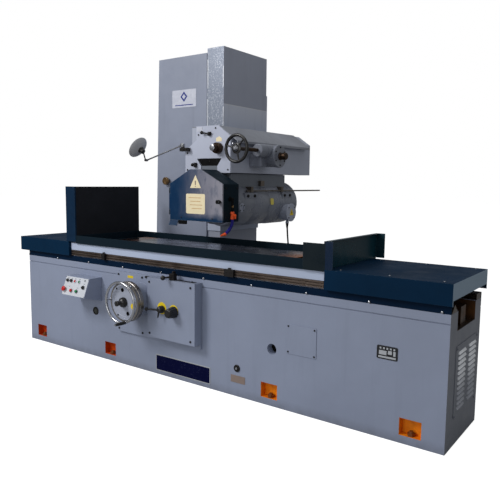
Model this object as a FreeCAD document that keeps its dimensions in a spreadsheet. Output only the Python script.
import FreeCAD, Part
import math
import os

import Sketcher
from FreeCAD import Placement, Rotation, Vector

# Surface grinder with a horizontal spindle and a long reciprocating table.
# Frame: origin at the middle of the bed's footprint on the floor, +X along the bed to the
# operator's right, +Y away from the operator, +Z up. Millimetres.

doc = FreeCAD.newDocument("surface_grinder")
sheet = doc.addObject("Spreadsheet::Sheet", "Dims")

SIZES = {
    # bed
    "bed_length": 3600, "bed_depth": 564, "bed_height": 734, "bed_wall": 60, "bed_floor": 20,
    "channel_half": 165, "channel_floor": 628, "deck": 28, "groove_height": 686,
    "way_offset": 222, "way_half": 40, "way_top": 770, "vee_top": 776,
    "pocket_width": 122, "pocket_low": 45, "pocket_high": 141, "pocket_deep": 50,
    "strip_thick": 6, "strip_top": 776,
    # table and what rides on it
    "table_left": -1215, "table_right": 1092, "table_half": 285, "table_low": 825,
    "table_top": 882, "trough_left": -1134, "trough_right": 1086, "trough_front": -300,
    "trough_back": 350, "trough_top": 945, "sheet_thick": 4,
    "chuck_left": -865, "chuck_right": 785, "chuck_half": 200, "chuck_top": 916,
    "left_guard_back": 372, "left_guard_top": 1330, "right_guard_back": 405,
    "right_guard_top": 1055,
    "cover_left": -1880, "cover_right": 1812, "cover_front": -308, "cover_back": 344,
    "cover_top": 894, "cover_skirt": 779, "cover_end_low": 807,
    "cylinder_half": 880, "cylinder_height": 690, "piston_rod": 20, "piston": 35,
    # column
    "column_left": -1140, "column_right": -580, "column_front": 636, "column_back": 1262,
    "column_top": 2452, "column_wall": 25, "column_taper": 50, "base_wall": 30,
    "base_left": -1250, "base_right": -330, "base_back": 1420,
    "rail_front": 725, "rail_back": 1125, "screw_offset": -546, "screw_depth": 925,
    "screw_radius": 22,
    # carriage
    "carriage_left": -400, "carriage_right": -8, "carriage_front": 250, "carriage_back": 1395,
    "carriage_low": 1447, "plate_front": 234, "ridge_height": 1800, "ridge_offset": -127,
    "eave_height": 1684, "dovetail_low": 1500, "dovetail_top": 1553, "neck_left": -290,
    "neck_right": -136, "dovetail_left": -329, "dovetail_right": -97,
    # wheelhead
    "spindle_offset": -160, "spindle_height": 1210, "motor_radius": 176, "motor_front": 300,
    "motor_split": 880, "motor_back": 1190, "spindle_radius": 30, "wheel_radius": 128,
    "ram_front": 285, "ram_back": 1030, "ram_left": -360, "ram_right": -40, "ram_low": 1317,
    "guard_left": -414, "guard_right": 93, "guard_front": 18, "guard_rear": 206,
    "guard_low": 1092, "guard_shoulder": 1363, "guard_top": 1468, "guard_roof_left": -215,
    "guard_roof_right": -114,
    # operator's controls
    "main_wheel_x": -396, "main_wheel_z": 535, "main_wheel_front": -500,
    "main_wheel_rim": 143, "cross_wheel_x": 120, "cross_wheel_z": 1618,
    "cross_wheel_front": 140, "cross_wheel_rim": 94,
    "case_left": -275, "case_right": 167, "case_front": -358, "case_low": 292,
    "case_top": 712, "flange_front": -300,
    "box_left": -1125, "box_right": -850,
}


class Size:
    """A number together with the sheet expression that it comes from."""

    def __init__(self, value, text):
        self.value = value
        self.text = text

    def _with(self, sign, other, value, swap=False):
        sides = [self.text, getattr(other, "text", repr(other))]
        if swap:
            sides.reverse()
        return Size(value, f"({sides[0]} {sign} {sides[1]})")

    def __add__(self, other):
        return self._with("+", other, self.value + number(other))

    def __radd__(self, other):
        return self._with("+", other, self.value + number(other), True)

    def __sub__(self, other):
        return self._with("-", other, self.value - number(other))

    def __rsub__(self, other):
        return self._with("-", other, number(other) - self.value, True)

    def __mul__(self, other):
        return self._with("*", other, self.value * number(other))

    def __rmul__(self, other):
        return self._with("*", other, self.value * number(other), True)

    def __truediv__(self, other):
        return self._with("/", other, self.value / number(other))

    def __neg__(self):
        return Size(-self.value, f"(-1 * {self.text})")


class Dims:
    """Gives each sheet cell as a Size, by its alias."""

    def __getattr__(self, alias):
        return Size(float(SIZES[alias]), f"Dims.{alias}")


def number(size):
    return float(getattr(size, "value", size))


for row, (alias, value) in enumerate(SIZES.items(), start=1):
    sheet.set(f"A{row}", alias)
    sheet.set(f"B{row}", str(value))
    sheet.setAlias(f"B{row}", alias)
doc.recompute()

D = Dims()
PIECES = {}
AXIS_TURN = {
    "x": Rotation(Vector(0, 1, 0), 90),
    "y": Rotation(Vector(1, 0, 0), -90),
    "z": Rotation(),
}


# ---- building helpers ----------------------------------------------------------------------

def bind(obj, prop, size):
    """Set a property from a Size, or from a plain number."""
    obj.setExpression(prop, getattr(size, "text", repr(float(number(size)))))


def block(x, y, z):
    """A box between the low and high value on each axis."""
    obj = doc.addObject("Part::Box", "block")
    for prop, axis, (low, high) in zip(("Length", "Width", "Height"), "xyz", (x, y, z)):
        bind(obj, prop, high - low)
        bind(obj, f"Placement.Base.{axis}", low)
    return obj


def rod(axis, centre, low, high, radius):
    """A cylinder along an axis; centre gives its two other coordinates in X, Y, Z order."""
    obj = doc.addObject("Part::Cylinder", "rod")
    obj.Placement = Placement(Vector(), AXIS_TURN[axis])
    bind(obj, "Radius", radius)
    bind(obj, "Height", high - low)
    others = iter(centre)
    for name in "xyz":
        bind(obj, f"Placement.Base.{name}", low if name == axis else next(others))
    return obj


def cone(axis, centre, low, high, radius_low, radius_high):
    """A cone along an axis, with its radius at each end."""
    obj = doc.addObject("Part::Cone", "cone")
    obj.Placement = Placement(Vector(), AXIS_TURN[axis])
    bind(obj, "Radius1", radius_low)
    bind(obj, "Radius2", radius_high)
    bind(obj, "Height", high - low)
    others = iter(centre)
    for name in "xyz":
        bind(obj, f"Placement.Base.{name}", low if name == axis else next(others))
    return obj


def ball(centre, radius):
    obj = doc.addObject("Part::Sphere", "ball")
    obj.Placement = Placement(Vector(), Rotation(Vector(0, 0, 1), 180))
    bind(obj, "Radius", radius)
    for name, value in zip("xyz", centre):
        bind(obj, f"Placement.Base.{name}", value)
    return obj


def ring(centre, radius, thick):
    """A torus about the Y axis."""
    obj = doc.addObject("Part::Torus", "ring")
    obj.Placement = Placement(Vector(), AXIS_TURN["y"])
    bind(obj, "Radius1", radius)
    bind(obj, "Radius2", thick)
    for name, value in zip("xyz", centre):
        bind(obj, f"Placement.Base.{name}", value)
    return obj


def bar(start, end, radius):
    """A round bar between two points given in plain numbers or Sizes."""
    a = Vector(*(number(v) for v in start))
    b = Vector(*(number(v) for v in end))
    obj = doc.addObject("Part::Cylinder", "bar")
    obj.Placement = Placement(Vector(), Rotation(Vector(0, 0, 1), b - a))
    obj.Height = (b - a).Length
    bind(obj, "Radius", radius)
    for name, value in zip("xyz", start):
        bind(obj, f"Placement.Base.{name}", value)
    return obj


def fused(*parts):
    obj = doc.addObject("Part::MultiFuse", "fused")
    obj.Shapes = list(parts)
    return obj


def carved(base, *tools):
    obj = doc.addObject("Part::Cut", "carved")
    obj.Base = base
    obj.Tool = tools[0] if len(tools) == 1 else fused(*tools)
    return obj


def group(*parts):
    """Separate solids that share a node."""
    obj = doc.addObject("Part::Compound", "group")
    obj.Links = list(parts)
    return obj


def profile(plane, points, low, high, softened=0):
    """A PartDesign body: a closed outline, padded from low to high along the plane's normal.

    The outline's two coordinates are X, Y on XY, X, Z on XZ and Y, Z on YZ. softened rounds
    the edges that run along the pad.
    """
    body = doc.addObject("PartDesign::Body", "body")
    doc.recompute()
    sketch = body.newObject("Sketcher::SketchObject", "outline")
    origin = next(f for f in body.Origin.OriginFeatures if f.Role == f"{plane}_Plane")
    sketch.AttachmentSupport = [(origin, "")]
    sketch.MapMode = "FlatFace"
    corners = [Vector(number(a), number(b), 0) for a, b in points]
    for start, end in zip(corners, corners[1:] + corners[:1]):
        sketch.addGeometry(Part.LineSegment(start, end))
    count = len(points)
    for i in range(count):
        sketch.addConstraint(Sketcher.Constraint("Coincident", i, 2, (i + 1) % count, 1))
    for i, pair in enumerate(points):
        for kind, size in zip(("DistanceX", "DistanceY"), pair):
            n = sketch.addConstraint(Sketcher.Constraint(kind, -1, 1, i, 1, number(size)))
            sketch.setExpression(f"Constraints[{n}]", getattr(size, "text", repr(number(size))))
    pad = body.newObject("PartDesign::Pad", "pad")
    pad.Profile = sketch
    bind(pad, "Length", high - low)
    body.Tip = pad
    # The XZ plane's normal is -Y, so its pad grows back from high to low.
    along = {"XY": ("z", low), "XZ": ("y", high), "YZ": ("x", low)}[plane]
    bind(body, f"Placement.Base.{along[0]}", along[1])
    if softened:
        doc.recompute()
        direction = {"XY": Vector(0, 0, 1), "XZ": Vector(0, 1, 0), "YZ": Vector(1, 0, 0)}[plane]
        names = [
            f"Edge{n}"
            for n, edge in enumerate(pad.Shape.Edges, start=1)
            if abs(abs(edge.tangentAt(edge.FirstParameter).dot(direction)) - 1) < 1e-6
        ]
        fillet = body.newObject("PartDesign::Fillet", "fillet")
        fillet.Base = (pad, names)
        fillet.Radius = softened
        body.Tip = fillet
    return body


def keep(name, obj):
    """Name a finished sub-part; its Label is its node's name."""
    obj.Label = name
    PIECES[name] = obj
    return obj


def shell(x, y, z, wall, open_low=(), open_high=()):
    """A sheet-metal box with the named sides left open."""
    spans = {"x": x, "y": y, "z": z}
    inner = {}
    for axis, (low, high) in spans.items():
        inner[axis] = (
            low - 1 if axis in open_low else low + wall,
            high + 1 if axis in open_high else high - wall,
        )
    return carved(block(x, y, z), block(inner["x"], inner["y"], inner["z"]))


# ---- bed -----------------------------------------------------------------------------------

half_length = D.bed_length / 2
half_depth = D.bed_depth / 2
FOOT_X = (-1641, -763, 713, 1615)
GROOVE = 6
LIFT_HOLE = (730, 362, 34)


def pocket(centre, side):
    """One foot pocket, open to the front (side -1) or the rear (side 1)."""
    outer = half_depth * side
    inner = (half_depth - D.pocket_deep) * side
    y = (outer - 1, inner) if side < 0 else (inner, outer + 1)
    return block((centre - D.pocket_width / 2, centre + D.pocket_width / 2), y,
                 (D.pocket_low, D.pocket_high))


def make_bed():
    section = [
        (-half_depth, 0), (half_depth, 0),
        (half_depth, D.groove_height - GROOVE), (half_depth - GROOVE, D.groove_height - GROOVE),
        (half_depth - GROOVE, D.groove_height), (half_depth, D.groove_height),
        (half_depth, D.bed_height), (D.channel_half, D.bed_height),
        (D.channel_half, D.channel_floor), (-D.channel_half, D.channel_floor),
        (-D.channel_half, D.bed_height), (-half_depth, D.bed_height),
        (-half_depth, D.groove_height), (GROOVE - half_depth, D.groove_height),
        (GROOVE - half_depth, D.groove_height - GROOVE), (-half_depth, D.groove_height - GROOVE),
    ]
    body = profile("YZ", section, -half_length, half_length)
    cavity = block((D.bed_wall - half_length, half_length - D.bed_wall),
                   (D.bed_wall - half_depth, half_depth - D.bed_wall),
                   (D.bed_floor, D.channel_floor - D.deck))
    service = block((-half_length - 1, half_length + 1), (-148, 204), (172, 523))
    cuts = [cavity, service]
    for x in FOOT_X:
        for side in (-1, 1):
            cuts.append(pocket(x, side))
            cuts.append(rod("z", (x, (half_depth - 25) * side), -1, D.pocket_low + 1, 12.4))
    cuts.append(rod("y", LIFT_HOLE[:2], -half_depth - 1, 55 - half_depth, LIFT_HOLE[2]))
    cuts.append(rod("y", (D.main_wheel_x, D.main_wheel_z), -half_depth - 1, half_depth + 1, 20))
    keep("bed", carved(body, *cuts))


def make_bed_ways():
    vee = profile("YZ", [
        (-D.way_offset - D.way_half, D.bed_height), (D.way_half - D.way_offset, D.bed_height),
        (D.way_half - D.way_offset, D.vee_top - 30), (30 - D.way_offset, D.vee_top - 30),
        (-D.way_offset, D.vee_top), (-30 - D.way_offset, D.vee_top - 30),
        (-D.way_offset - D.way_half, D.vee_top - 30),
    ], -half_length, half_length)
    flat = block((-half_length, half_length),
                 (D.way_offset - D.way_half, D.way_offset + D.way_half),
                 (D.bed_height, D.way_top))
    keep("bed_ways", group(vee, flat))


def hexagon(centre, low, high, across):
    """A hexagonal nut body standing on the XY plane."""
    corner = across / math.sqrt(3)
    points = [
        (centre[0] + corner * math.cos(math.radians(60 * i)),
         centre[1] + corner * math.sin(math.radians(60 * i)))
        for i in range(6)
    ]
    return profile("XY", points, low, high)


def make_levelling_bolts():
    bolts = []
    for x in FOOT_X:
        for side in (-1, 1):
            y = (number(half_depth) - 25) * side
            bolts.append(fused(rod("z", (x, y), 0, 72, 12),
                               hexagon((x, y), number(D.pocket_low), 62, 38)))
    keep("levelling_bolts", group(*bolts))


def make_rim_strips():
    front = block((-half_length, half_length), (-half_depth, D.strip_thick - half_depth),
                  (D.bed_height, D.strip_top))
    back = block((-half_length, half_length), (half_depth - D.strip_thick, half_depth),
                 (D.bed_height, D.strip_top - 8))
    screws = [
        rod("y", (394 * i - 1791, 742), -half_depth - 3, -half_depth, 6)
        for i in range(10)
    ]
    keep("rim_strips", group(front, back, *screws))


def make_louvre_panels():
    """A ventilated cover on each end of the bed, with two columns of louvres."""
    panels = []
    for side in (-1, 1):
        face = half_length * side
        span = (face, face + 5) if side > 0 else (face - 5, face)
        plate = block(span, (-170, 226), (150, 545))
        slots = []
        hoods = []
        for column in (-130, 62):
            for row in range(12):
                z = 193 + 27.5 * row
                slots.append(block((span[0] - 1, span[1] + 1), (column, column + 126), (z, z + 8)))
                lip = (span[1], span[1] + 7) if side > 0 else (span[0] - 7, span[0])
                hoods.append(block(lip, (column - 4, column + 130), (z + 8, z + 12)))
                front = (span[1] + 4, span[1] + 7) if side > 0 else (span[0] - 7, span[0] - 4)
                hoods.append(block(front, (column - 4, column + 130), (z - 2, z + 12)))
        panels.append(fused(carved(plate, *slots), *hoods))
    keep("louvre_panels", group(*panels))


def make_fittings():
    """Plates, plug and sights on the bed's front, and the brass limit knob on the column."""
    front = -half_depth
    parts = [
        block((-268, 241), (front - 3, front), (29, 146)),
        block((1414, 1533), (front - 2, front), (442, 516)),
        block((838, 1041), (front - 6, front), (359, 540)),
        block((415, 529), (front - 3, front), (91, 139)),
        rod("y", (464, 187), front - 10, front, 22),
        rod("y", (-927, 366), front - 6, front, 24),
        rod("y", (-1036, 1382), D.column_front - 40, D.column_front, 34),
    ]
    for x in (848, 1031):
        for z in (369, 530):
            parts.append(rod("y", (x, z), front - 9, front - 6, 5))
    keep("fittings", group(*parts))


# ---- apron and operator's box ------------------------------------------------------------------

def make_apron():
    plate = block((-650, D.case_right), (D.flange_front, -half_depth), (258, D.case_top))
    boss = rod("y", (D.main_wheel_x, D.main_wheel_z), -404, D.flange_front, 118)
    bore = rod("y", (D.main_wheel_x, D.main_wheel_z), -405, 1 - half_depth, 15.06)
    keep("apron_plate", carved(fused(plate, boss), bore))
    case = block((D.case_left, D.case_right), (D.case_front, D.flange_front),
                 (D.case_low, D.case_top))
    inside = block((D.case_left + 8, D.case_right - 8), (D.case_front + 10, D.flange_front + 1),
                   (D.case_low + 8, D.case_top - 8))
    bores = [rod("y", (x, z), D.case_front - 1, D.case_front + 11, 12.05)
             for x, z in (SPEED_LEVER, SPEED_KNOB)]
    keep("apron_case", carved(case, boss_clearance(), inside, *bores))


def boss_clearance():
    """Room in the casing beside the handwheel's boss."""
    return rod("y", (D.main_wheel_x, D.main_wheel_z), D.case_front - 1, D.flange_front + 1, 121.5)


SPEED_LEVER = (-126, 505)
REVERSING_PIVOT = (-49, -335)
SPEED_KNOB = (-15, 500)
PANEL_LOW = (-453, 500)
PANEL_HIGH = (-400, 640)
PANEL_TILT = math.degrees(math.atan2(PANEL_HIGH[1] - PANEL_LOW[1], PANEL_HIGH[0] - PANEL_LOW[0]))
# Each control of the panel: place along X and up the slope as fractions, stem and cap radius,
# cap height.
PANEL_CONTROLS = {
    "pump_button": (0.13, 0.77, 7, 12, 8),
    "feed_button": (0.29, 0.77, 7, 12, 8),
    "estop_button": (0.10, 0.30, 9, 20, 18),
    "stop_button": (0.39, 0.27, 7, 12, 8),
    "start_button": (0.62, 0.27, 7, 12, 8),
    "selector_switch": (0.86, 0.52, 7, 14, 10),
}
BUTTON_TRAVEL = 6


def panel_point(along, up):
    """A point of the sloped panel face."""
    x = number(D.box_left) + along * number(D.box_right - D.box_left)
    y = PANEL_LOW[0] + up * (PANEL_HIGH[0] - PANEL_LOW[0])
    z = PANEL_LOW[1] + up * (PANEL_HIGH[1] - PANEL_LOW[1])
    return Vector(x, y, z)


def panel_normal():
    slope = math.radians(PANEL_TILT)
    return Vector(0, -math.sin(slope), math.cos(slope))


def make_control_box():
    section = [(-half_depth, 454), PANEL_LOW, PANEL_HIGH, (-half_depth, 640)]
    body = profile("YZ", section, D.box_left, D.box_right)
    inside = profile("YZ", [(-half_depth - 4, 470), (PANEL_LOW[0] + 18, 512),
                            (PANEL_HIGH[0] + 13, 632), (-half_depth - 4, 632)],
                     D.box_left + 6, D.box_right - 6)
    wells = []
    out = panel_normal()
    for along, up, stem, cap, rise in PANEL_CONTROLS.values():
        point = panel_point(along, up)
        wells.append(bar(point - out * 22, point + out * 4, stem + 0.3))
    keep("control_box", carved(body, inside, *wells))
    for name, (along, up, stem, cap, rise) in PANEL_CONTROLS.items():
        point = panel_point(along, up)
        low = point + out * (BUTTON_TRAVEL + 1.5)
        shank = bar(point - out * 16, low + out, stem)
        head = bar(low, low + out * rise, cap)
        keep(name, fused(shank, head))


# ---- handwheels and levers ---------------------------------------------------------------------

def handwheel(centre, rim, thick, hub, spoke, first_angle):
    """Rim, hub and three spokes about the Y axis."""
    x, y, z = centre
    parts = [ring(centre, rim, thick), rod("y", (x, z), y - 22, y + 30, hub)]
    reach = number(rim) - 2
    for i in range(3):
        angle = math.radians(first_angle + 120 * i)
        end = (number(x) + reach * math.cos(angle), number(y), number(z) + reach * math.sin(angle))
        parts.append(bar((number(x), number(y), number(z)), end, spoke))
    return parts


def make_main_handwheel():
    x, y, z = D.main_wheel_x, D.main_wheel_front, D.main_wheel_z
    rim = D.main_wheel_rim
    parts = [ring((x, y, z), rim, 10), rod("y", (x, z), y + 36, -406, rim),
             rod("y", (x, z), y + 4, y + 37, 34), rod("y", (x, z), y - 34, y + 5, 15)]
    for angle in (58, 178, 298):
        turn = math.radians(angle)
        post = (x + (rim - 6) * math.cos(turn), z + (rim - 6) * math.sin(turn))
        parts.append(rod("y", post, y, y + 37, 5))
    grip = (x + rim * math.cos(turn), z + rim * math.sin(turn))
    parts.append(rod("y", grip, y - 112, y, 6))
    parts.append(rod("y", grip, y - 106, y - 14, 12))
    parts.append(rod("y", (x, z), -410, 848, 15))
    keep("main_handwheel", fused(*parts))


def make_cross_handwheel():
    x, y, z = D.cross_wheel_x, D.cross_wheel_front, D.cross_wheel_z
    parts = handwheel((x, y, z), D.cross_wheel_rim, 12, 20, 8, 45)
    parts.append(rod("y", (x, z), y, 470, 14))
    parts.append(rod("y", (x, z), y - 4, y + 6, 40))
    parts.append(rod("y", (x, z + 30), y - 50, y, 8))
    keep("cross_handwheel", fused(*parts))


def make_apron_levers():
    x, z = SPEED_LEVER
    front = D.case_front
    parts = [rod("y", (x, z), front - 44, front + 20, 12), rod("y", (x, z), front - 44, front - 2, 26),
             bar((x, front - 34, z), (x - 106, front - 46, z - 6), 6),
             ball((x - 110, front - 46, z - 6), 13),
             bar((x, front - 34, z), (x - 6, front - 40, z - 52), 6)]
    keep("speed_lever", fused(*parts))
    x, z = SPEED_KNOB
    keep("speed_knob", fused(rod("y", (x, z), front - 70, front + 20, 12),
                             cone("y", (x, z), front - 72, front - 2, 30, 40)))
    x, y = REVERSING_PIVOT
    head = block((x - 22, x + 22), (y - 17, y + 17), (D.case_top + 1, 757))
    grip = (x - 30, y - 66, 733)
    finger = block((x - 6, x + 6), (y - 4, y + 22), (740, 772))
    cap = rod("z", (x, y), 740, 761, 12)
    keep("reversing_lever", fused(head, cap, bar((x, y, 735), grip, 7), finger, ball(grip, 17)))


# ---- table ---------------------------------------------------------------------------------

def make_table():
    foot = D.way_offset + D.way_half + 2
    gap = 0.4
    section = [
        (-D.table_half, D.table_top), (-D.table_half, D.table_low), (-foot, D.table_low),
        (-foot, 748), (-D.way_offset - 28 - gap, 748), (-D.way_offset, D.vee_top + gap),
        (28 + gap - D.way_offset, 748), (-170, 748), (-170, 800), (170, 800),
        (170, D.way_top + gap), (foot, D.way_top + gap), (foot, D.table_low),
        (D.table_half, D.table_low), (D.table_half, D.table_top),
    ]
    keep("table", profile("YZ", section, D.table_left, D.table_right))
    floor = D.table_top
    wall = 6
    keep("trough", carved(
        block((D.trough_left, D.trough_right), (D.trough_front, D.trough_back),
              (floor, D.trough_top)),
        block((D.trough_left + wall, D.trough_right - wall),
              (D.trough_front + wall, D.trough_back - wall), (floor + wall, D.trough_top + 1))))
    plate = block((D.chuck_left, D.chuck_right), (-D.chuck_half, D.chuck_half),
                  (floor + wall, D.chuck_top))
    grooves = [block((D.chuck_left - 1, D.chuck_right + 1), (y - 6, y + 6),
                     (floor + wall + 6, floor + wall + 14)) for y in (-200, 200)]
    keep("magnetic_chuck", carved(plate, *grooves))


def make_guards():
    thick = D.sheet_thick
    x = D.trough_left
    front = D.trough_front
    panel = block((x - thick, x), (front, D.left_guard_back), (D.table_top, D.left_guard_top))
    wing = block((x - 113, x - 1), (front - thick, front), (D.cover_top, D.left_guard_top))
    heel = block((x - thick, x), (front - thick, front + 1), (D.cover_top, D.left_guard_top))
    back = block((x - 40, x - 1), (D.left_guard_back - thick, D.left_guard_back),
                 (D.cover_top, D.left_guard_top))
    gusset = profile("YZ", [(front, D.cover_top), (front + 90, D.cover_top),
                            (front, D.cover_top + 100)], x - 60, x - 56)
    keep("left_guard", fused(panel, wing, heel, back, gusset))
    x = D.trough_right
    top = D.right_guard_top
    panel = block((x, x + thick), (front, D.right_guard_back), (D.table_top, top))
    flange = block((x, x + 57), (front - thick, front), (D.cover_top, top))
    wing = block((x - 137, x + 1), (front - thick, front), (D.table_top, top - 14))
    back = block((x, x + 64), (D.right_guard_back - thick, D.right_guard_back),
                 (D.cover_top, top))
    cap = block((x, x + 26), (front - thick, D.right_guard_back), (top - thick, top))
    keep("right_guard", fused(panel, flange, wing, back, cap))


def make_end_covers():
    """A sheet-metal hood over each end of the ways, carried by the table."""
    covers = []
    for low, high, outer in ((D.cover_left, D.table_left - 1, -1),
                             (D.table_right + 1, D.cover_right, 1)):
        hood = shell((low, high), (D.cover_front, D.cover_back), (D.cover_skirt, D.cover_top),
                     D.sheet_thick, open_low=("z",))
        end = low if outer < 0 else high
        relief = block((end - 6, end + 6), (D.cover_front + 8, D.cover_back - 8),
                       (D.cover_skirt - 1, D.cover_end_low))
        inner = high if outer < 0 else low
        mouth = block((inner - 5, inner + 5), (-260, 260), (D.cover_skirt - 1, D.table_low))
        covers.append(carved(hood, relief, mouth))
    keep("end_covers", group(*covers))


def make_dog_rail():
    """The slotted rail on the table's front with its two reversing dogs."""
    low, high = 783, 824
    face = -D.way_offset - D.way_half - 2
    front = face - 26
    slot = front + 12
    rail = profile("YZ", [
        (face, low), (face, high), (front, high), (front, high - 9), (slot, high - 9),
        (slot, high - 15), (front, high - 15), (front, low + 15), (slot, low + 15),
        (slot, low + 9), (front, low + 9), (front, low),
    ], D.table_left + 10, D.table_right - 10)
    dogs = [
        block((x - width / 2, x + width / 2), (face - 44, face - 26), (low - 2, high + 4))
        for x, width in ((-805, 34), (408, 74))
    ]
    keep("dog_rail", group(rail, *dogs))


def make_table_drive():
    """A cylinder under the table slides on a rod that is anchored to both ends of the bed."""
    height = D.cylinder_height
    half = D.cylinder_half
    tube = rod("x", (0, height), -half, half, 45)
    bore = rod("x", (0, height), 40 - half, half - 40, D.piston + 0.06)
    gland = rod("x", (0, height), -half - 1, half + 1, D.piston_rod + 0.06)
    arms = [block((x - 30, x + 30), (-35, 35), (height + 20, 800)) for x in (-700, 0, 700)]
    keep("table_cylinder", carved(fused(tube, *arms), bore, gland))
    reach = half_length - 20
    anchors = [block((x, x + 40), (-45, 45), (D.channel_floor, height + 42))
               for x in (-reach, reach - 40)]
    keep("piston_rod", fused(rod("x", (0, height), -reach, reach, D.piston_rod),
                             rod("x", (0, height), -30, 30, D.piston), *anchors))


# ---- column --------------------------------------------------------------------------------

def make_column():
    base = block((D.base_left, D.base_right), (half_depth, D.base_back), (0, D.bed_height))
    wall = D.base_wall
    hollow = block((D.base_left + wall, D.base_right - wall),
                   (half_depth + wall, D.base_back - wall), (-1, D.bed_height - wall))
    shaft = rod("y", (D.main_wheel_x, D.main_wheel_z), half_depth - 1, half_depth + wall + 1, 20)
    screw = rod("z", (D.screw_offset, D.screw_depth), D.bed_height - wall - 1,
                D.bed_height + 1, 26)
    keep("column_base", carved(base, hollow, shaft, screw))
    body = profile("XZ", [
        (D.column_left - D.column_taper, D.bed_height), (D.column_right, D.bed_height),
        (D.column_right, D.column_top), (D.column_left, D.column_top),
    ], D.column_front, D.column_back)
    wall = D.column_wall
    inside = profile("XZ", [
        (D.column_left - D.column_taper + wall, D.bed_height - 1),
        (D.column_right - wall, D.bed_height - 1),
        (D.column_right - wall, D.column_top - wall), (D.column_left + wall, D.column_top - wall),
    ], D.column_front + wall, D.column_back - wall)
    keep("column", carved(body, inside))
    rails = []
    for y in (D.rail_front, D.rail_back):
        rails.append(block((D.column_right, D.column_right + 60), (y - 35, y + 35), (800, 2400)))
    keep("column_ways", group(*rails))


def make_way_covers():
    """Fixed sheet covers at the top and foot of the column's ways."""
    x0 = D.column_right + 2
    upper = shell((x0, -403), (642, 1262), (2045, 2487), 4, open_low=("x", "z"))
    upper_gap = block((x0 - 2, x0 + 1), (641, 1263), (2044, 2452))
    lower = shell((x0, -442), (655, 1190), (D.bed_height, 1330), 4,
                  open_low=("x", "z"), open_high=("z",))
    keep("way_covers", group(carved(upper, upper_gap), lower))
    rider = shell((x0 + 2, -432), (645, 1200), (962, D.carriage_low), 4,
                  open_low=("x", "z"), open_high=("z",))
    top = shell((x0 + 2, -397), (636, 1268), (D.ridge_height, 2160), 4,
                open_low=("x", "z"), open_high=("z",))
    keep("slide_covers", group(rider, top))


def make_lift_drive():
    """Bevel gearbox in the base and the elevating screw that it turns."""
    centre = (D.screw_offset, D.screw_depth)
    case = block((-610, -362), (850, 1000), (440, 650))
    bore = rod("z", centre, 600, 651, D.screw_radius + 0.06)
    legs = [block((x, x + 30), (850, 1000), (0, 441)) for x in (-610, -392)]
    keep("lift_gearbox", carved(fused(case, *legs), bore))
    keep("lift_screw", rod("z", centre, 602, 2390, D.screw_radius))


def make_cable_duct():
    """Open-topped trunking at the column's foot that the motor cable hangs into."""
    duct = shell((-45, 125), (600, 1045), (340, 760), 4, open_high=("z",))
    arms = [block((D.base_right, -45), (y, y + 40), (z, z + 30))
            for y in (660, 940) for z in (420, 640)]
    keep("cable_duct", fused(duct, *arms))


# ---- carriage ------------------------------------------------------------------------------

def dovetail(gap, low):
    """Outline of the cross slide's dovetail, widened all round by gap."""
    return [
        (D.neck_left - gap, low), (D.neck_right + gap, low),
        (D.neck_right + gap, D.dovetail_low - gap), (D.dovetail_right + 2 * gap, D.dovetail_top + gap),
        (D.dovetail_left - 2 * gap, D.dovetail_top + gap), (D.neck_left - gap, D.dovetail_low - gap),
    ]


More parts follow.
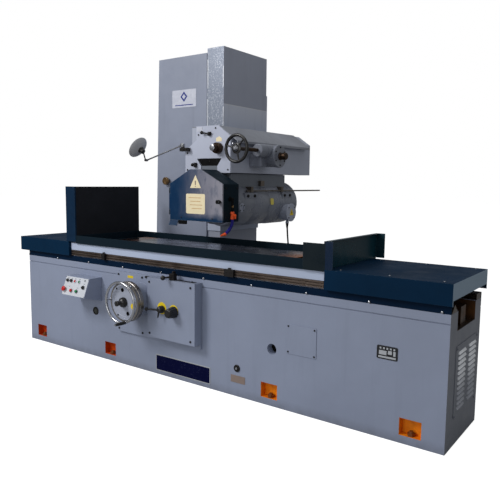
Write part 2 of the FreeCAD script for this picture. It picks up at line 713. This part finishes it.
def make_carriage():
    slope = (D.ridge_height - D.eave_height) / (45 - D.ridge_offset)
    drop = 8
    wall_top = D.ridge_height - drop - slope * (D.carriage_right - D.ridge_offset)
    section = [
        (D.carriage_left, D.carriage_low), (D.carriage_right, D.carriage_low),
        (D.carriage_right, wall_top), (D.ridge_offset, D.ridge_height - drop),
        (D.carriage_left, D.ridge_height - drop),
    ]
    body = profile("XZ", section, D.carriage_front, D.carriage_back)
    slot = profile("XZ", dovetail(0.5, D.carriage_low - 1), D.carriage_front - 1,
                   D.carriage_back + 1)
    inside = block((D.carriage_left + 30, D.carriage_right - 30),
                   (D.carriage_front + 30, D.carriage_back - 30), (1580, 1700))
    saddle = block((-516, D.carriage_left + 1), (652, 1198),
                   (D.carriage_low, D.ridge_height - drop))
    tongue = block((-577, -515), (762, 1088), (D.carriage_low, D.ridge_height - drop))
    nut = rod("z", (D.screw_offset, D.screw_depth), D.carriage_low - 1, D.ridge_height,
              D.screw_radius + 0.06)
    shaft = rod("y", (D.cross_wheel_x, D.cross_wheel_z), 300, 472, 14.06)
    keep("carriage", carved(fused(body, saddle, tongue), slot, inside, nut, shaft))
    plate = profile("XZ", [
        (-455, D.carriage_low), (D.carriage_right, D.carriage_low), (D.carriage_right, 1716),
        (D.ridge_offset, D.ridge_height), (-343, D.ridge_height), (-340, 1698), (-455, 1617),
    ], D.plate_front, D.carriage_front)
    mouth = profile("XZ", dovetail(3, D.carriage_low - 1), D.plate_front - 1,
                    D.carriage_front + 1)
    pins = [rod("y", (x, z), D.plate_front - 1, D.carriage_front + 1, 10.06)
            for x, z in (FEED_KNOB, PLATE_LEVER)]
    clamp = fused(block((-350, -334), (D.plate_front - 22, D.plate_front), (1490, 1524)),
                  bar((-340, 222, 1508), (-360, 213, 1508), 6), ball((-362, 212, 1508), 13))
    keep("front_plate", fused(carved(plate, mouth, *pins), clamp))
    thick = 6
    inner_eave = D.ridge_height - drop - slope * (45 - thick - D.ridge_offset)
    roof = profile("XZ", [
        (45, D.eave_height - 18), (45, D.eave_height), (D.ridge_offset, D.ridge_height),
        (D.carriage_left, D.ridge_height), (D.carriage_left, D.ridge_height - drop),
        (D.ridge_offset, D.ridge_height - drop), (45 - thick, inner_eave),
        (45 - thick, D.eave_height - 18),
    ], D.carriage_front + 1, 1300)
    keep("roof_cover", roof)
    x, z = FEED_KNOB
    front = D.plate_front
    keep("feed_knob", fused(rod("y", (x, z), front - 84, front - 40, 26),
                            rod("y", (x, z), front - 44, front - 2, 42),
                            rod("y", (x, z), front - 10, D.carriage_front, 10)))
    x, z = PLATE_LEVER
    keep("carriage_lever", fused(
        rod("y", (x, z), D.plate_front - 26, D.carriage_front, 10),
        bar((x, 220, z), (x - 56, 212, z + 10), 5),
        bar((x - 49, 213, z + 9), (x - 74, 209.4, z + 13.5), 12)))


FEED_KNOB = (-118, 1630)
PLATE_LEVER = (-205, 1738)


def make_cross_gearbox():
    x, z = D.cross_wheel_x, D.cross_wheel_z
    nose = rod("y", (x, z), 395, 600, 50)
    drum = rod("x", (600, 1580), D.carriage_right, 182, 82)
    flange = rod("x", (600, 1580), 182, 192, 88)
    knob = rod("x", (600, 1580), 192, 250, 28)
    foot = block((D.carriage_right, 110), (470, 560), (1500, 1600))
    bore = rod("y", (x, z), 394, 472, 14.06)
    keep("cross_gearbox", carved(fused(nose, drum, flange, knob, foot), bore))


LAMP_PIVOT = (-466, 215)


def make_lamp():
    """Work lamp: bracket on the carriage, jointed arm and a shallow bowl shade."""
    pivot = LAMP_PIVOT
    bracket = fused(block((-484, D.carriage_left), (196, D.plate_front), (1612, 1640)),
                    rod("z", pivot, 1640, 1646, 16))
    keep("lamp_bracket", bracket)
    elbow = Vector(-851, 200, 1549)
    hinge = (elbow.x, elbow.z)
    start = Vector(pivot[0], pivot[1], 1662)
    keep("lamp_arm", fused(rod("z", pivot, 1646.5, 1676, 18), bar(start, elbow, 6),
                           rod("y", hinge, elbow.y - 8, elbow.y + 8, 10)))
    head = Vector(-871, 153, 1632.4)
    aim = Vector(-0.836, -0.079, 0.543).normalize()
    turn = Rotation(Vector(0, 0, 1), aim)
    shade = doc.addObject("Part::Cone", "shade")
    shade.Radius1, shade.Radius2, shade.Height = 26, 92, 36
    shade.Placement = Placement(head, turn)
    hollow = doc.addObject("Part::Cone", "hollow")
    hollow.Radius1, hollow.Radius2, hollow.Height = 22, 92, 35
    hollow.Placement = Placement(head + aim * 3, turn)
    bulb = bar(head + aim * 2, head + aim * 30, 14)
    socket = bar(head - aim * 36, head + aim * 6, 21)
    ear = rod("y", hinge, elbow.y - 20, elbow.y - 8.3, 10)
    stem = bar((elbow.x, elbow.y - 14, elbow.z), head - aim * 24, 5)
    keep("lamp_head", fused(carved(shade, hollow), stem, socket, bulb, ear))


# ---- wheelhead -----------------------------------------------------------------------------

def make_wheelhead():
    axis = (D.spindle_offset, D.spindle_height)
    radius = D.motor_radius
    section = [
        (D.ram_left, D.ram_low), (D.ram_right, D.ram_low), (D.ram_right, 1443),
        (D.neck_right, 1443), (D.neck_right, D.dovetail_low), (D.dovetail_right, D.dovetail_top),
        (D.dovetail_left, D.dovetail_top), (D.neck_left, D.dovetail_low), (D.neck_left, 1443),
        (D.ram_left, 1443),
    ]
    ram = fused(profile("XZ", section, D.ram_front, D.ram_back),
                block((D.neck_left, D.neck_right), (D.plate_front + 4, D.ram_front + 1),
                      (D.carriage_low + 1, D.dovetail_low)))
    keep("ram", carved(ram, rod("y", axis, 200, D.motor_split, radius + 0.3),
                       rod("y", axis, D.motor_split, 1200, radius + 3.3)))
    front = D.motor_front
    outer = fused(rod("y", axis, front, D.motor_split, radius),
                  rod("y", axis, D.guard_rear, front + 1, 150),
                  block((-20, 13), (396, 556), (1250, 1297)))
    stator_bore = rod("y", axis, 380, D.motor_split + 1, 120)
    nose = rod("y", axis, D.guard_rear - 1, 381, D.spindle_radius + 0.06)
    keep("spindle_housing", carved(outer, stator_bore, nose))
    split = D.motor_split
    bell = fused(rod("y", axis, split, D.motor_back - 40, radius + 3),
                 cone("y", axis, D.motor_back - 40, D.motor_back, radius + 3, radius - 25),
                 block((-20, 16), (916, 1060), (1250, 1297)))
    hollow = rod("y", axis, split - 1, D.motor_back - 20, 120)
    keep("rear_bell", carved(bell, hollow))
    keep("spindle", fused(
        rod("y", axis, 56, 1080, D.spindle_radius),
        rod("y", axis, 410, 850, 112),
        rod("y", axis, 135, 160, 62),
        rod("y", axis, 60, 80, 44)))
    keep("grinding_wheel", carved(rod("y", axis, 85, 134.5, D.wheel_radius),
                                  rod("y", axis, 84, 135, D.spindle_radius + 0.05)))


def guard_outline(inset):
    return [
        (D.guard_left + inset, D.guard_low - (1 if inset else 0)),
        (D.guard_right - inset, D.guard_low - (1 if inset else 0)),
        (D.guard_right - inset, D.guard_shoulder - inset / 2),
        (D.guard_roof_right, D.guard_top - inset), (D.guard_roof_left, D.guard_top - inset),
        (D.guard_left + inset, D.guard_shoulder - inset / 2),
    ]


def make_wheel_guard():
    wall = 6
    case = profile("XZ", guard_outline(0), D.guard_front + 13, D.guard_rear)
    inside = profile("XZ", guard_outline(wall), D.guard_front + 12, D.guard_rear - wall)
    bore = rod("y", (D.spindle_offset, D.spindle_height), D.guard_rear - wall - 1,
               D.guard_rear + 1, 66)
    hinge = (D.guard_left - 7, D.guard_front + 6)
    knuckles = []
    for low in (1130, 1290):
        knuckles.append(rod("z", hinge, low, low + 40, 6.5))
        knuckles.append(block((D.guard_left - 7, D.guard_left - 0.3),
                              (D.guard_front + 6, D.guard_front + 15), (low, low + 40)))
        knuckles.append(block((D.guard_left - 7, D.guard_left + 1),
                              (D.guard_front + 14, D.guard_front + 30), (low, low + 40)))
    pin = rod("z", hinge, 1130, 1330, 3)
    keep("wheel_guard", fused(carved(case, inside, bore), pin, *knuckles))
    leaf = fused(rod("z", hinge, 1171, 1289, 6.5),
                 block((D.guard_left - 7, D.guard_left + 4), (D.guard_front, D.guard_front + 12),
                       (1171, 1289)))
    leaf = carved(leaf, rod("z", hinge, 1170, 1290, 3.06))
    catch = block((-332, -252), (D.guard_front + 2, D.guard_front + 12), (1064, D.guard_low + 4))
    front = D.guard_front
    flap = profile("YZ", [(front + 4, D.guard_low + 4), (front + 12, D.guard_low + 4),
                          (front - 12, 1050), (front - 18, 1052)], D.guard_left, -333)
    door = fused(profile("XZ", guard_outline(0), front, front + 12, 3), leaf, catch, flap)
    knob = fused(rod("y", (72, 1238), D.guard_front - 30, D.guard_front, 8),
                 rod("y", (72, 1238), D.guard_front - 34, D.guard_front - 14, 15))
    keep("guard_door", fused(door, knob))


def make_terminal_box():
    axis = (D.spindle_offset, D.spindle_height)
    drum = rod("x", (970, 1130), -40, 66, 72)
    lid = rod("x", (970, 1130), 66, 74, 76)
    gland = fused(rod("z", CABLE_TOP[:2], CABLE_TOP[2], 1076, 13),
                  rod("z", CABLE_TOP[:2], CABLE_TOP[2] + 6, 1052, 17))
    keep("terminal_box", carved(fused(drum, lid, gland),
                                rod("y", axis, 800, 1250, D.motor_radius + 4)))


CABLE_TOP = (32, 970, 1034)
CABLE_RADIUS = 7
# The motor cable's route: out of the gland and down into the duct.
CABLE_ROUTE = [
    CABLE_TOP, (33, 971, 985), (38, 974, 905), (46, 979, 810), (52, 980, 710), (51, 975, 610),
    (46, 968, 520), (40, 960, 440),
]


def hose(name, route, radius):
    """A flexible tube: straight runs joined by tangent arcs, each as large as its runs allow."""
    points = [Vector(*p) for p in route]
    edges = []
    last = points[0]
    for before, here, after in zip(points, points[1:], points[2:]):
        one = (before - here).normalize()
        two = (after - here).normalize()
        turn = math.pi - one.getAngle(two)
        cut = 0.45 * min((before - here).Length, (after - here).Length)
        bend = cut / math.tan(turn / 2)
        a = here + one * cut
        b = here + two * cut
        middle_way = (one + two).normalize()
        centre = here + middle_way * math.hypot(bend, cut)
        middle = centre - middle_way * bend
        edges.append(Part.LineSegment(last, a).toShape())
        edges.append(Part.Arc(a, middle, b).toShape())
        last = b
    edges.append(Part.LineSegment(last, points[-1]).toShape())
    path = Part.Wire(edges)
    circle = Part.makeCircle(radius, points[0], points[1] - points[0])
    tube = doc.addObject("Part::Feature", name)
    tube.Shape = path.makePipeShell([Part.Wire([circle])], True, True)
    return tube


def make_cable():
    keep("motor_cable", hose("cable", CABLE_ROUTE, CABLE_RADIUS))


def make_trip_rod():
    """Cross-feed trip rod along the ram, with its carriers."""
    line = (6, 1312)
    parts = [rod("y", line, 420, 1560, 6)]
    for y in (470, 900):
        parts.append(block((D.ram_right, 14), (y, y + 30), (1319, 1345)))
        parts.append(block((-2, 14), (y, y + 30), (1302, 1330)))
    parts.append(block((D.ram_right, -14), (640, 690), (1350, 1392)))
    axis = (D.spindle_offset, D.spindle_height)
    keep("trip_rod", carved(fused(*parts),
                            rod("y", axis, 300, D.motor_split, D.motor_radius + 0.3),
                            rod("y", axis, D.motor_split, 1250, D.motor_radius + 3.3)))


# The coolant spout's route: down from the cock and forward to the nozzle.
SPOUT_ROUTE = [
    (118, 102, 1112), (118, 102, 1080), (112, 80, 1042), (101, 44, 1010),
]


def make_coolant():
    """Coolant pipe and cock on the guard's side, and the jointed plastic spout below it."""
    x, y = 118, 102
    pipe = fused(rod("x", (y, 1258), D.guard_right, x, 11), rod("z", (x, y), 1160, 1270, 9),
                 rod("z", (x, y), 1112, 1168, 15), rod("x", (y, 1142), x, 138, 8))
    keep("coolant_valve", pipe)
    keep("valve_lever", fused(rod("x", (y, 1142), 138.5, 150, 9),
                              block((142, 150), (y - 5, y + 5), (1118, 1150))))
    tube = hose("spout", SPOUT_ROUTE, 9)
    tip = Vector(*SPOUT_ROUTE[-1])
    aim = Vector(-12, -44, -10).normalize()
    nozzle = doc.addObject("Part::Cone", "nozzle")
    nozzle.Radius1, nozzle.Radius2, nozzle.Height = 10.5, 5, 45
    nozzle.Placement = Placement(tip - aim * 3, Rotation(Vector(0, 0, 1), aim))
    keep("coolant_hose", fused(tube, nozzle))


def make_pump_unit():
    """Hydraulic pump and motor standing in the bed's right end."""
    base = block((1250, 1700), (-110, 110), (D.bed_floor, 60))
    motor = rod("x", (0, 150), 1280, 1520, 90)
    pump = rod("x", (0, 150), 1520, 1660, 55)
    riser = rod("z", (1600, 0), 150, 420, 16)
    keep("pump_unit", fused(base, motor, pump, riser))


# ---- build, check and write ------------------------------------------------------------------

for make in (
    make_bed, make_bed_ways, make_levelling_bolts, make_rim_strips, make_louvre_panels,
    make_fittings, make_apron, make_control_box, make_main_handwheel, make_cross_handwheel,
    make_apron_levers, make_table, make_guards, make_end_covers, make_dog_rail,
    make_table_drive, make_column, make_way_covers, make_lift_drive, make_cable_duct,
    make_carriage, make_cross_gearbox, make_lamp, make_wheelhead, make_wheel_guard,
    make_terminal_box, make_cable, make_trip_rod, make_coolant, make_pump_unit,
):
    make()
doc.recompute()

failed = [o.Name for o in doc.Objects if {"Invalid", "Error"} & set(o.State)]
bad = [n for n, o in PIECES.items() if o.Shape.isNull() or not o.Shape.isValid()]
if failed or bad:
    raise RuntimeError(f"failed objects {failed}, bad shapes {bad}")

os.makedirs("parts", exist_ok=True)
for name, piece in PIECES.items():
    piece.Shape.exportStep(f"parts/{name}.step")
print(len(PIECES), "parts written")
